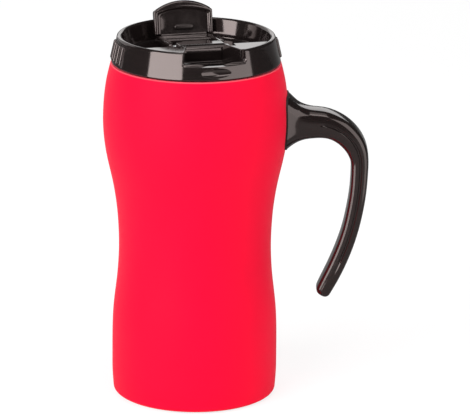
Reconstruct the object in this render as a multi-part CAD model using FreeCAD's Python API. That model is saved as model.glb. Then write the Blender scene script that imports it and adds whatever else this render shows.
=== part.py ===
import FreeCAD, Part
import math
import os

# Insulated travel mug: double-walled cup with a hook handle and a screw-on
# drinking lid, its flip cap open.  Millimetres, +Z up, origin on the axis at
# the resting plane, handle towards +X.  Lid features are built in a lid frame
# (d along +X towards the drinking notch, t along +Y) and then turned about Z.

os.makedirs("parts", exist_ok=True)

Vec = FreeCAD.Vector
X_AXIS, Y_AXIS, Z_AXIS = Vec(1, 0, 0), Vec(0, 1, 0), Vec(0, 0, 1)
ORIGIN = Vec(0, 0, 0)

# ---------------------------------------------------------------- dimensions
RIM_TOP = 176.4          # height of the rim crest
LID_TURN = -75.8         # direction of the drinking notch about +Z, degrees
GAP = 0.05               # gap between stacked pieces

# shell
SHELL_TOP = 163.4
SHELL_BOT = 0.5
SHELL_WALL = 2.0
FOOT_R = 37.1            # bore at the bottom, around the base plate
LEDGE_Z = 4.65           # underside of the ledge above the base seal
LEDGE_TOP = 6.0
LEDGE_R = 34.9
# outer profile of the shell: height, radius
PROFILE = [
    (2.9, 39.05), (10, 39.55), (18, 39.63), (26, 39.62), (34, 39.5), (42, 39.1),
    (50, 38.25), (58, 37.3), (66, 36.7), (74, 36.48), (82, 36.7), (90, 37.25),
    (98, 38.25), (106, 39.68), (114, 41.5), (120, 42.72), (127, 43.68), (134, 44.1),
    (140, 44.02), (147, 43.55), (154, 42.6), (160, 41.3), (162.6, 40.62),
]
BOSS_ANGLES = (60.0, 180.0, 300.0)
BOSS_R = 33.0            # distance of the screw bosses from the axis

# base
PLATE_Z0, PLATE_Z1 = 1.2, 3.6
PAD_GROOVE_Z = 0.5

# inner liner
LINER_T = 0.6
LINER_R_BOT = 31.5
LINER_R_TOP = 32.9
LINER_CORNER_R = 6.0
LINER_Z0 = 14.0
FLARE_R = 1.0
FLANGE_Z = 148.8
FLANGE_R = 37.4

# neck seal, neck ring and thread
NECK_SEAL_Z0 = FLANGE_Z + LINER_T + GAP
NECK_SEAL_Z1 = 150.4
NECK_R_OUT = 38.0
NECK_R_IN = 36.2
NECK_LIP_R = 34.7
NECK_LIP_Z = 152.2
NECK_Z0 = NECK_SEAL_Z1 + GAP
NECK_Z1 = 163.0
THREAD_LEAD = 12.0       # rise per turn of the three-start thread
LUG_ANGLES = (30.0, 150.0, 270.0)
LUG_SPAN = 46.0          # degrees
LUG_T = 1.5
LUG_STEPS = 10
NECK_LUG_Z = 159.0
PLUG_LUG_Z = 157.0

# lid
COLLAR_BOT = 163.7
COLLAR_R_BOT = 40.2
COLLAR_R_TOP = 37.7
COLLAR_EDGE_R = 0.5
RIM_R = 1.3
BASIN_R_TOP = 35.1
BASIN_R_BOT = 34.7
BASIN_FILLET = 1.2
RIM_MID_R = BASIN_R_TOP + RIM_R
RIM_MID_Z = RIM_TOP - RIM_R
FLOOR_Z = RIM_TOP - 9.5
UNDER_Z = 164.9
ROOT_Z = UNDER_Z + 0.5   # where the raised blocks start inside the lid floor
DECK_Z = RIM_TOP - 0.45
DECK_D = 16.3
BAR_D0, BAR_D1 = 4.4, 15.0
BAR_HALF = 11.0
BAR_Z = RIM_TOP - 1.8
PIVOT_D0 = -4.3
PIVOT_HALF = 7.0
PIVOT_Z = RIM_TOP - 3.4
SLOT_Z = FLOOR_Z - 0.9
SLOT_D0 = BAR_D1 + 0.6
SLOT_D1 = 34.0           # where the slot walls stop spreading
SLOT_HALF_BACK, SLOT_HALF_FRONT = 8.6, 14.3
SLOT_FRONT_R = 36.1
NOTCH_HALF = 14.8
NOTCH_Z = RIM_TOP - 5.3
POCKET_D = (14.5, 21.95)
POCKET_T = (11.0, 13.85)
POCKET_Z = RIM_TOP - 2.7
RIB_R = 0.85
RIB_ANGLES = (78.0, 84.0, 90.0, 96.0, 102.0)

# plug below the lid, with the spout and vent tubes that reach its floor
PLUG_R = 34.2
PLUG_LOW_R = 31.4
PLUG_Z0 = 144.0
PLUG_FLOOR_T = 1.6
PLUG_TOP = UNDER_Z - GAP
PLUG_WALL = 1.8
SHOULDER_Z = 151.6
TUBE_Z0 = PLUG_Z0 + 1.7
SPOUT_D0, SPOUT_D1, SPOUT_HALF = 16.5, 26.5, 8.0
SPOUT_WALL = 1.2
SPOUT_CORNER_R = 1.8
VENT_D, VENT_T = -9, 17
VENT_R, VENT_OUTER_R = 1.0, 1.9

# cap linkage: cap hinge as (d, height above the rim crest), angles in degrees
HINGE_OPEN = (-24.0, -7.35)
HINGE_CLOSED = (21.8, 1.6)
SWING = 166.0            # turn of the arms between open and closed
CAP_OPEN_DIR = 102.0
ARM_PIN_R = 1.0
CAP_PIN_R = 0.9
PIN_CLEAR = 0.06
ARM_PIN_CLEAR = 0.01
ARM_T0, ARM_T1 = 11.3, 13.5
PIN_HALF = ARM_T1 - 0.1
CROSS_ROD_U = 17.0
CROSS_ROD_R = 1.1

# cap, about its hinge axis
CAP_HALF = 14.35
CAP_ARC_R = 38.0         # about the mug axis when the cap is closed
CAP_LO, CAP_MID, CAP_HI = -1.45, -0.3, 2.6
CAP_WALL = 1.9
LIP_ARC_R = 24.5
BARREL_R = 1.8
BARREL_HALF = ARM_T0 - 0.15
NUB_U, NUB_R, NUB_T = 5.3, 1.45, 3.3
NUB_LO, NUB_HI = CAP_MID - 1.6, CAP_MID - 0.05

# handle
FOOT_GAP = 0.05
FOOT_PAD_T = 0.8
SCREW_Z = (129.0, 140.5)
SCREW_HOLE_R = 1.7
# stations from the shell down to the free tip:
# outer edge (x, z), inner edge (x, z), width
STATIONS = [
    ((38.5, 150.0), (38.5, 119.0), 24.0),
    ((42.0, 148.9), (42.0, 120.6), 22.6),
    ((44.0, 147.6), (44.0, 122.2), 20.8),
    ((46.0, 145.8), (46.0, 123.7), 19.2),
    ((48.4, 143.7), (48.4, 125.1), 17.9),
    ((51.4, 142.0), (51.4, 126.3), 16.9),
    ((55.4, 140.9), (55.4, 127.0), 16.2),
    ((61.0, 140.25), (60.8, 127.2), 16.0),
    ((66.0, 138.8), (64.2, 126.5), 16.0),
    ((71.0, 136.2), (67.0, 125.1), 16.0),
    ((75.6, 132.4), (69.6, 123.0), 15.9),
    ((79.2, 127.8), (71.6, 120.7), 15.7),
    ((81.5, 122.6), (73.1, 118.1), 15.4),
    ((82.35, 117.0), (74.1, 115.0), 15.1),
    ((82.3, 110.5), (74.3, 110.4), 14.8),
    ((81.6, 100.4), (73.85, 101.2), 14.4),
    ((80.1, 90.2), (72.5, 91.7), 14.0),
    ((77.7, 79.6), (70.4, 81.8), 13.5),
    ((74.5, 69.6), (67.3, 72.3), 13.0),
    ((70.5, 60.0), (63.6, 63.3), 12.3),
    ((66.9, 52.9), (60.3, 56.2), 11.6),
    ((65.1, 49.6), (59.0, 53.4), 10.9),
    ((63.9, 47.9), (59.2, 50.6), 8.8),
    ((62.9, 47.2), (60.3, 48.6), 5.6),
]


# ------------------------------------------------------------------- helpers
# Profile points are (radius, height) in the XZ plane.
def profile_point(point):
    return Vec(point[0], 0, point[1])


def path(*points):
    """Straight edges through the points in turn."""
    return [Part.makeLine(profile_point(start), profile_point(end))
            for start, end in zip(points, points[1:])]


def arc(*points):
    return Part.Arc(*[profile_point(point) for point in points]).toShape()


def centre_arc(centre, radius, start, end):
    angles = [math.radians(angle) for angle in (start, 0.5 * (start + end), end)]
    return arc(*[(centre[0] + radius * math.cos(angle), centre[1] + radius * math.sin(angle))
                 for angle in angles])


def spline(points):
    curve = Part.BSplineCurve()
    curve.interpolate([profile_point(point) for point in points])
    return curve.toShape()


def revolve(edges):
    face = Part.Face(Part.Wire(Part.__sortEdges__(edges)))
    return face.revolve(ORIGIN, Z_AXIS, 360)


def revolve_points(*points):
    return revolve(path(*points, points[0]))


def cyl(radius, height, base, axis=Z_AXIS):
    return Part.makeCylinder(radius, height, base, axis)


def cross_cyl(radius, half, x=0, z=0):
    """Cylinder along Y, centred on y = 0."""
    return cyl(radius, 2 * half, Vec(x, -half, z), Y_AXIS)


def box(x0, x1, y0, y1, z0, z1):
    return Part.makeBox(x1 - x0, y1 - y0, z1 - z0, Vec(x0, y0, z0))


def mid_box(x0, x1, half, z0, z1):
    """Box centred on y = 0."""
    return box(x0, x1, -half, half, z0, z1)


def edges_along(shape, axis):
    return [edge for edge in shape.Edges
            if abs(getattr(edge.tangentAt(edge.FirstParameter), axis)) > 0.99]


def rounded_box(x0, x1, half, z0, z1, radius, axis="z"):
    """mid_box with its four edges along the axis rounded."""
    block = mid_box(x0, x1, half, z0, z1)
    return block.makeFillet(radius, edges_along(block, axis))


def try_fillet(shape, radius, pick):
    """Round the edges whose bounds are picked, or keep the shape as it is."""
    edges = [edge for edge in shape.Edges if pick(edge.BoundBox)]
    if not edges:
        return shape
    # guards against a fillet that the kernel rejects or builds badly
    try:
        rounded = shape.makeFillet(radius, edges)
        if rounded.isValid() and rounded.Volume > 0.9 * shape.Volume:
            return rounded
    except Exception:
        pass
    return shape


def largest(shape):
    return max(shape.Solids, key=lambda solid: solid.Volume)


def polygon_face(*points):
    return Part.Face(Part.makePolygon([*points, points[0]]))


def lug(r_root, r_tip, z_mid, mid_angle):
    """One start of the thread: a helical ramp of constant section."""
    sections = []
    half = LUG_T / 2
    for i in range(LUG_STEPS + 1):
        angle = mid_angle - LUG_SPAN / 2 + LUG_SPAN * i / LUG_STEPS
        z = z_mid + THREAD_LEAD * (angle - mid_angle) / 360.0
        cos, sin = math.cos(math.radians(angle)), math.sin(math.radians(angle))
        corners = ((r_root, -half), (r_tip, -half * 0.72), (r_tip, half * 0.72), (r_root, half))
        sections.append([Vec(r * cos, r * sin, z + rise) for r, rise in corners])
    faces = []
    for near, far in zip(sections, sections[1:]):
        for k in range(4):
            m = (k + 1) % 4
            faces.append(polygon_face(near[k], near[m], far[m]))
            faces.append(polygon_face(near[k], far[m], far[k]))
    for end in (sections[0], sections[-1]):
        faces.append(polygon_face(*end))
    solid = Part.Solid(Part.Shell(faces))
    if solid.Volume < 0:
        solid.reverse()
    return solid


def lugs(r_root, r_tip, z_mid):
    return [lug(r_root, r_tip, z_mid, angle) for angle in LUG_ANGLES]


def boss_points(z):
    return [Vec(BOSS_R * math.cos(math.radians(angle)), BOSS_R * math.sin(math.radians(angle)), z)
            for angle in BOSS_ANGLES]


def to_lid(shape):
    """Turn a shape from the lid frame into place."""
    turned = shape.copy()
    turned.rotate(ORIGIN, Z_AXIS, LID_TURN)
    return turned


def export(name, shape):
    solids = shape.Solids
    result = solids[0] if len(solids) == 1 else Part.makeCompound(solids)
    result.exportStep("parts/" + name + ".step")


# --------------------------------------------------------------- shell, base
def outer_shell():
    outer = [(r, z) for z, r in PROFILE]
    wall = [(r - SHELL_WALL, z) for z, r in PROFILE if 9.0 <= z <= 149.0]
    inner = [(37.2, LEDGE_TOP), *wall, (40.9, 152.0)]
    foot_corner = (37.3, SHELL_BOT)
    top_edge = (39.95, SHELL_TOP)
    neck_bore = NECK_R_OUT + GAP
    shell = revolve([
        *path((FOOT_R, SHELL_BOT), foot_corner),
        arc(foot_corner, (38.55, 1.22), outer[0]),
        spline(outer),
        arc(outer[-1], (40.44, 163.18), top_edge),
        *path(top_edge, (neck_bore, SHELL_TOP), (neck_bore, 157.5), inner[-1]),
        spline(inner[::-1]),
        *path(inner[0], (LEDGE_R, LEDGE_TOP), (LEDGE_R, LEDGE_Z), (FOOT_R, LEDGE_Z),
              (FOOT_R, SHELL_BOT)),
    ])
    for point in boss_points(LEDGE_Z):
        shell = shell.fuse(cyl(3.4, 7.85, point))
    for point in boss_points(4.0):
        shell = shell.cut(cyl(1.3, 6.6, point))
    for z in SCREW_Z:
        shell = shell.cut(cyl(SCREW_HOLE_R, 12, Vec(38, 0, z), X_AXIS))
    return shell.removeSplitter()


def base_plate():
    """Disc with a ring groove in its top and countersunk screw holes below."""
    plate = revolve_points((0, PLATE_Z0), (36.8, PLATE_Z0), (36.8, PLATE_Z1), (27.5, PLATE_Z1),
                           (27.5, 3.0), (25.0, 3.0), (25.0, PLATE_Z1), (0, PLATE_Z1))
    for point in boss_points(1.0):
        plate = plate.cut(cyl(1.5, 4, point)).cut(cyl(3.0, 1.7, point))
    return plate


def base_screws():
    head_z, slot_z0, slot_z1 = 1.3, 1.2, 1.9
    slot_long, slot_thin = 1.9, 0.4
    screws = []
    for x, y, z in boss_points(head_z):
        screw = cyl(2.8, 1.3, Vec(x, y, z))
        for half_x, half_y in ((slot_thin, slot_long), (slot_long, slot_thin)):
            screw = screw.cut(box(x - half_x, x + half_x, y - half_y, y + half_y,
                                  slot_z0, slot_z1))
        screws.append(screw.fuse(cyl(1.25, 7.6, Vec(x, y, 2.5))).removeSplitter())
    return Part.makeCompound(screws)


def base_pad():
    """Disc under the base plate, with a ring groove in its underside."""
    return revolve_points((0, 0), (25.0, 0), (25.4, PAD_GROOVE_Z), (27.1, PAD_GROOVE_Z),
                          (27.5, 0), (34.9, 0), (35.5, 0.5), (35.5, PLATE_Z0), (0, PLATE_Z0))


def base_seal():
    bottom, top = PLATE_Z1 + GAP, LEDGE_Z - GAP
    return revolve_points((35.1, bottom), (36.85, bottom), (36.85, top), (36.3, top),
                          (36.1, 4.25), (35.9, top), (35.1, top))


def liner_support_pad():
    bottom, top = PLATE_Z1 + GAP, LINER_Z0 - GAP
    return revolve_points((6, bottom), (24.0, bottom), (24.4, 4.2), (24.4, 13.2),
                          (23.6, top), (6, top))


# --------------------------------------------------------- liner, neck pieces
def inner_liner():
    corner = (LINER_R_BOT - LINER_CORNER_R, LINER_Z0 + LINER_CORNER_R)
    flare = (LINER_R_TOP + FLARE_R, FLANGE_Z - FLARE_R)
    inside_z = LINER_Z0 + LINER_T
    flange_top = FLANGE_Z + LINER_T
    return revolve([
        *path((0, LINER_Z0), (corner[0], LINER_Z0)),
        centre_arc(corner, LINER_CORNER_R, -90, 0),
        *path((LINER_R_BOT, corner[1]), (LINER_R_TOP, flare[1])),
        centre_arc(flare, FLARE_R, 180, 90),
        *path((flare[0], FLANGE_Z), (FLANGE_R, FLANGE_Z), (FLANGE_R, flange_top),
              (flare[0], flange_top)),
        centre_arc(flare, FLARE_R + LINER_T, 90, 180),
        *path((LINER_R_TOP - LINER_T, flare[1]), (LINER_R_BOT - LINER_T, corner[1])),
        centre_arc(corner, LINER_CORNER_R - LINER_T, 0, -90),
        *path((corner[0], inside_z), (0, inside_z), (0, LINER_Z0)),
    ])


def neck_seal():
    return revolve_points((35.6, NECK_SEAL_Z0), (FLANGE_R, NECK_SEAL_Z0),
                          (FLANGE_R, NECK_SEAL_Z1), (35.6, NECK_SEAL_Z1))


def neck_ring():
    ring = revolve_points((NECK_LIP_R, NECK_Z0), (NECK_R_OUT, NECK_Z0), (NECK_R_OUT, NECK_Z1),
                          (NECK_R_IN + 0.4, NECK_Z1), (NECK_R_IN, NECK_Z1 - 0.5),
                          (NECK_R_IN, NECK_LIP_Z), (NECK_LIP_R, NECK_LIP_Z))
    return ring.fuse(lugs(36.6, 34.75, NECK_LUG_Z))


# -------------------------------------------------------------------- handle
def handle_section(outer, inner, width):
    """Rounded rectangle across the handle at one station."""
    outer, inner = profile_point(outer), profile_point(inner)
    centre = (outer + inner) * 0.5
    outward = outer - inner
    depth = outward.Length
    outward.normalize()
    half_u, half_v = depth / 2, width / 2
    radius = 0.36 * min(depth, width)
    inset = radius * (1 - math.sqrt(0.5))

    def at(u, v):
        return centre + outward * u + Y_AXIS * v

    edges = []
    start = at(half_u, radius - half_v)
    for side_u, side_v in ((1, 1), (-1, 1), (-1, -1), (1, -1)):
        ends = [at(side_u * half_u, side_v * (half_v - radius)),
                at(side_u * (half_u - radius), side_v * half_v)]
        if side_u != side_v:
            ends.reverse()
        middle = at(side_u * (half_u - inset), side_v * (half_v - inset))
        edges.append(Part.makeLine(start, ends[0]))
        edges.append(Part.Arc(ends[0], middle, ends[1]).toShape())
        start = ends[1]
    return Part.Wire(edges)


def grown_body(growth):
    """Solid of revolution of the upper shell profile, moved outwards by growth."""
    points = [(r + growth, z) for z, r in PROFILE if z >= 88]
    top, bottom = points[-1], points[0]
    return revolve([spline(points), *path(top, (0, top[1]), (0, bottom[1]), bottom)])


def handle():
    grip = Part.makeLoft([handle_section(*station) for station in STATIONS], True, False, False)
    grip = grip.cut(grown_body(FOOT_GAP + FOOT_PAD_T + FOOT_GAP))
    for z in SCREW_Z:
        grip = grip.cut(cyl(1.55, 14, Vec(36, 0, z), X_AXIS))
    return largest(grip)


def cut_handle_holes(plate):
    for z in SCREW_Z:
        plate = plate.cut(cyl(SCREW_HOLE_R, 20, Vec(30, 0, z), X_AXIS))
    return plate


def handle_foot_pad():
    """Curved pad between shell and handle."""
    band = grown_body(FOOT_GAP + FOOT_PAD_T).cut(grown_body(FOOT_GAP))
    return cut_handle_holes(band.common(rounded_box(30, 60, 10.2, 121.6, 148.0, 5.0, "x")))


def handle_backing_plate():
    """Curved plate against the inside of the shell wall."""
    band = grown_body(-SHELL_WALL - 0.08).cut(grown_body(-SHELL_WALL - 1.58))
    return cut_handle_holes(band.common(rounded_box(30, 60, 8.0, 122.5, 146.5, 3.0, "x")))


def handle_screws():
    slot_long, slot_thin = 2.0, 0.4
    screws = []
    for z in SCREW_Z:
        screw = cyl(3.0, 2.2, Vec(37.65, 0, z), X_AXIS)
        for half_y, half_z in ((slot_long, slot_thin), (slot_thin, slot_long)):
            screw = screw.cut(mid_box(37.0, 38.7, half_y, z - half_z, z + half_z))
        shank = cyl(1.5, 9.8, Vec(39.5, 0, z), X_AXIS)
        screws.append(screw.fuse(shank).removeSplitter())
    return Part.makeCompound(screws)


# ------------------------------------------------------------- linkage layout
def arm_pivot():
    """Fixed pivot of the arms, from the two hinge places and the swing."""
    (open_d, open_z), (closed_d, closed_z) = HINGE_OPEN, HINGE_CLOSED
    chord_angle = math.atan2(closed_z - open_z, closed_d - open_d)
    half_chord = 0.5 * math.hypot(closed_d - open_d, closed_z - open_z)
    drop = half_chord / math.tan(math.radians(SWING / 2))
    return (0.5 * (open_d + closed_d) + drop * math.sin(chord_angle),
            0.5 * (open_z + closed_z) - drop * math.cos(chord_angle))


PIVOT = arm_pivot()
ARM_D, ARM_Z = HINGE_OPEN[0] - PIVOT[0], HINGE_OPEN[1] - PIVOT[1]
ARM_LENGTH = math.hypot(ARM_D, ARM_Z)
ARM_OPEN_DIR = math.degrees(math.atan2(ARM_Z, ARM_D)) % 360.0


# ------------------------------------------------------------------ lid body
def lid_basin():
    """Collar, rolled rim and sunken basin."""
    collar_edge = (COLLAR_R_BOT - COLLAR_EDGE_R, COLLAR_BOT + COLLAR_EDGE_R)
    basin_corner = (BASIN_R_BOT - BASIN_FILLET, FLOOR_Z + BASIN_FILLET)
    return revolve([
        *path((0, UNDER_Z), (37.6, UNDER_Z), (37.6, COLLAR_BOT), (collar_edge[0], COLLAR_BOT)),
        centre_arc(collar_edge, COLLAR_EDGE_R, -90, 0),
        *path((COLLAR_R_BOT, collar_edge[1]), (COLLAR_R_TOP, RIM_MID_Z)),
        centre_arc((RIM_MID_R, RIM_MID_Z), RIM_R, 0, 180),
        *path((BASIN_R_TOP, RIM_MID_Z), (BASIN_R_BOT, basin_corner[1])),
        centre_arc(basin_corner, BASIN_FILLET, 0, -90),
        *path((basin_corner[0], FLOOR_Z), (0, FLOOR_Z), (0, UNDER_Z)),
    ])


def lid_blocks():
    """Deck towards the notch, bar behind it and the lower pivot block."""
    deck = cyl(RIM_MID_R, DECK_Z - ROOT_Z, Vec(0, 0, ROOT_Z))
    deck = deck.common(mid_box(DECK_D, 60, 40, UNDER_Z, DECK_Z))
    deck = try_fillet(deck, 1.0, lambda bounds: bounds.XMax < DECK_D + 0.01
                      and bounds.ZMin > DECK_Z - 0.01)
    bar = mid_box(BAR_D0, BAR_D1, BAR_HALF, ROOT_Z, BAR_Z)
    bar = try_fillet(bar, 3.6, lambda bounds: bounds.XMin > BAR_D1 - 0.01
                     and bounds.ZMin > BAR_Z - 0.01)
    bar = try_fillet(bar, 0.8, lambda bounds: bounds.XMax < BAR_D1 - 0.5
                     and bounds.ZMin > BAR_Z - 0.01)
    pivot = mid_box(PIVOT_D0, BAR_D0 + 1.0, PIVOT_HALF, ROOT_Z, PIVOT_Z)
    pivot = try_fillet(pivot, 2.6, lambda bounds: bounds.XMax < PIVOT_D0 + 0.01
                       and bounds.ZMin > PIVOT_Z - 0.01)
    return [deck, bar, pivot]


def drinking_slot():
    """Slot whose walls draw together towards the bar."""
    outline = [(SLOT_D0, -SLOT_HALF_BACK), (SLOT_D1, -SLOT_HALF_FRONT),
               (40.0, -SLOT_HALF_FRONT), (40.0, SLOT_HALF_FRONT),
               (SLOT_D1, SLOT_HALF_FRONT), (SLOT_D0, SLOT_HALF_BACK)]
    plan = polygon_face(*[Vec(x, y, SLOT_Z) for x, y in outline])
    return plan.extrude(Vec(0, 0, 20)).common(cyl(SLOT_FRONT_R, 30, Vec(0, 0, 160)))


def rim_notch():
    notch = mid_box(30, 50, NOTCH_HALF, NOTCH_Z, NOTCH_Z + 20)
    low_edges = [edge for edge in edges_along(notch, "x")
                 if edge.BoundBox.ZMax < NOTCH_Z + 0.01]
    return notch.makeFillet(1.4, low_edges).cut(cyl(34.2, 40, Vec(0, 0, 160)))


def finger_recess():
    """Oval hollow in the collar under the notch."""
    stretch = FreeCAD.Matrix()
    stretch.scale(Vec(2.4, 8.9, 2.5))
    recess = Part.makeSphere(1.0).transformGeometry(stretch)
    recess.translate(Vec(40.25, 0, RIM_TOP - 9.1))
    return recess


def grip_ribs():
    """Round-ended ribs on both flanks of the collar."""
    ribs = []
    low, high = Vec(39.85, 0, 165.9), Vec(38.15, 0, 173.4)
    rise = high - low
    for side in (1, -1):
        for angle in RIB_ANGLES:
            rib = cyl(RIB_R, rise.Length, low, rise)
            rib = rib.fuse([Part.makeSphere(RIB_R, low), Part.makeSphere(RIB_R, high)])
            rib.rotate(ORIGIN, Z_AXIS, side * angle)
            ribs.append(rib)
    return ribs


def spout_bore(z0, z1):
    return rounded_box(SPOUT_D0, SPOUT_D1, SPOUT_HALF, z0, z1, SPOUT_CORNER_R)


def lid_body():
    lid = lid_basin().fuse(lid_blocks())
    lid = lid.cut(drinking_slot())
    lid = lid.cut(rim_notch())

    # pockets where the two side arms come down when the cap is shut
    for y0, y1 in (POCKET_T, (-POCKET_T[1], -POCKET_T[0])):
        lid = lid.cut(box(*POCKET_D, y0, y1, POCKET_Z, RIM_TOP + 2))
    # room for the cross rod between them
    lid = lid.cut(mid_box(15.2, 17.1, POCKET_T[0] + 0.3, POCKET_Z, RIM_TOP + 2))
    lid = lid.cut(finger_recess())
    lid = lid.fuse(grip_ribs())

    # spout tube under the slot, vent tube off to one side
    tube_top = UNDER_Z + 0.4
    spout = rounded_box(SPOUT_D0 - SPOUT_WALL, SPOUT_D1 + SPOUT_WALL, SPOUT_HALF + SPOUT_WALL,
                        TUBE_Z0, tube_top, 2.6)
    vent = cyl(VENT_OUTER_R, tube_top - TUBE_Z0, Vec(VENT_D, VENT_T, TUBE_Z0))
    lid = lid.fuse([spout, vent])
    lid = lid.cut(spout_bore(140, 180).common(mid_box(0, 60, 40, 140, SLOT_Z + 0.5)))
    lid = lid.cut(cyl(VENT_R, 40, Vec(VENT_D, VENT_T, 140)))

    # bore for the swing-arm pin
    lid = lid.cut(cross_cyl(ARM_PIN_R + PIN_CLEAR, 15, PIVOT[0], RIM_TOP + PIVOT[1]))
    return to_lid(largest(lid.removeSplitter()))


# ------------------------------------------------------------ plug, lid seal
def lid_plug():
    """Stepped, threaded cup under the lid, pierced for the two tubes."""
    inner_r = PLUG_R - PLUG_WALL
    low_inner_r = PLUG_LOW_R - 1.6
    step_z = SHOULDER_Z + PLUG_WALL
    floor_z = PLUG_Z0 + PLUG_FLOOR_T
    plug = revolve_points(
        (0, PLUG_Z0), (PLUG_LOW_R - 0.8, PLUG_Z0), (PLUG_LOW_R, PLUG_Z0 + 0.8),
        (PLUG_LOW_R, SHOULDER_Z), (PLUG_R, SHOULDER_Z), (PLUG_R, PLUG_TOP),
        (inner_r, PLUG_TOP), (inner_r, step_z), (low_inner_r, step_z),
        (low_inner_r, floor_z), (0, floor_z))
    plug = plug.fuse(lugs(33.9, 35.9, PLUG_LUG_Z))
    for hole in (spout_bore(140, 150), cyl(VENT_R, 10, Vec(VENT_D, VENT_T, 140))):
        plug = plug.cut(to_lid(hole))
    return largest(plug)


def lid_seal():
    """Ring with a grooved outer face, under the plug's shoulder."""
    top = SHOULDER_Z - GAP
    return revolve_points((31.5, 149.5), (32.1, 149.45), (34.0, 149.45), (34.2, 149.9),
                          (33.5, 150.3), (34.2, 150.8), (34.0, top), (31.5, top))


# --------------------------------------------------------------- cap linkage
def place_link(shape, place, angle):
    """Turn a shape about its Y axis from d towards up, then set it in the lid."""
    placed = shape.copy()
    placed.rotate(ORIGIN, Y_AXIS, -angle)
    placed.translate(Vec(place[0], 0, RIM_TOP + place[1]))
    return to_lid(placed)


def side_arm(y):
    """Tapered arm from the pivot to the cap hinge, starting at the given y."""
    width = ARM_T1 - ARM_T0
    pivot_eye = cyl(2.2, width, Vec(0, y, 0), Y_AXIS)
    hinge_eye = cyl(1.8, width, Vec(ARM_LENGTH, y, 0), Y_AXIS)
    end = ARM_LENGTH - 0.2
    outline = [(0.2, -2.1), (end, -1.55), (end, 1.55), (0.2, 2.1)]
    web = polygon_face(*[Vec(x, y, z) for x, z in outline]).extrude(Vec(0, width, 0))
    return pivot_eye.fuse([hinge_eye, web])


def swing_arm():
    rod = cross_cyl(CROSS_ROD_R, ARM_T0 + 0.5, CROSS_ROD_U)
    arms = side_arm(ARM_T0).fuse([side_arm(-ARM_T1), rod])
    arms = arms.cut(cross_cyl(ARM_PIN_R + ARM_PIN_CLEAR, 20))
    arms = arms.cut(cross_cyl(CAP_PIN_R + ARM_PIN_CLEAR, 20, ARM_LENGTH))
    return place_link(arms.removeSplitter(), PIVOT, ARM_OPEN_DIR)


def pin(radius, place):
    rod = cross_cyl(radius, PIN_HALF)
    rod = rod.makeChamfer(0.2, [edge for edge in rod.Edges if edge.Closed])
    return place_link(rod, place, ARM_OPEN_DIR)


def swing_pin():
    return pin(ARM_PIN_R, PIVOT)


def cap_pin():
    return pin(CAP_PIN_R, HINGE_OPEN)


# The cap and stopper lie along +X from the hinge axis, thickness along Z.
def cap_block(z0, z1, inset, x0):
    block = mid_box(x0, 30, CAP_HALF - inset, z0, z1)
    return block.common(cyl(CAP_ARC_R - inset, z1 - z0, Vec(-HINGE_CLOSED[0], 0, z0)))


def flip_cap():
    closed_d = HINGE_CLOSED[0]
    cap = cap_block(CAP_LO, CAP_HI, 0.0, 0.0)
    cap = try_fillet(cap, 0.9, lambda bounds: bounds.ZMin > CAP_HI - 0.01
                     and bounds.XMax > 1.0)
    cap = cap.cut(cap_block(CAP_LO - 1, CAP_MID, CAP_WALL, 2.6))

    # lip beyond the tip, and the hinge barrel
    lip_x = CAP_ARC_R - closed_d + 1.9 - LIP_ARC_R
    lip = cyl(LIP_ARC_R, 1.9, Vec(lip_x, 0, -1.3)).common(mid_box(8, 30, 13.6, -2, 2))
    lip = lip.cut(cyl(CAP_ARC_R - 0.6, 6, Vec(-closed_d, 0, -3)))
    cap = cap.fuse([lip, cross_cyl(BARREL_R, BARREL_HALF)])

    # room for the arms at both ends of the barrel
    for y0, y1 in ((BARREL_HALF, 16), (-16, -BARREL_HALF)):
        cap = cap.cut(box(-4, 2.3, y0, y1, -4, 4))
    cap = cap.cut(cross_cyl(CAP_PIN_R + PIN_CLEAR, 20))
    return place_link(largest(cap.removeSplitter()), HINGE_OPEN, CAP_OPEN_DIR)


def cap_stopper():
    """Round-ended pad on the underside of the cap."""
    height = NUB_HI - NUB_LO
    ends = [cyl(NUB_R, height, Vec(NUB_U, y, NUB_LO)) for y in (NUB_T, -NUB_T)]
    middle = mid_box(NUB_U - NUB_R, NUB_U + NUB_R, NUB_T, NUB_LO, NUB_HI)
    nub = ends[0].fuse([ends[1], middle]).removeSplitter()
    nub = try_fillet(nub, 0.7, lambda bounds: bounds.ZMax < NUB_LO + 0.05)
    return place_link(nub, HINGE_OPEN, CAP_OPEN_DIR)


# -------------------------------------------------------------------- output
# each file takes the name of the function that builds it
for build in (
    outer_shell, inner_liner, neck_ring, neck_seal, liner_support_pad,
    base_plate, base_seal, base_screws, base_pad,
    handle, handle_foot_pad, handle_backing_plate, handle_screws,
    lid_body, lid_plug, lid_seal,
    swing_arm, swing_pin, flip_cap, cap_pin, cap_stopper,
):
    export(build.__name__, build())
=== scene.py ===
# Travel mug with a hooked handle and a flip-cap lid, shown with the cap open.
# The mug stands on z = 0 around the Z axis, with its handle towards +X. The lid has a frame
# of its own: +X towards the drinking slot, Y across, turned about Z by LID_TURN.
# Pieces are built in millimetres and scaled to metres at the end of their function.
import math
import bmesh
import bpy
import numpy as np
from mathutils import Matrix, Vector


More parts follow.
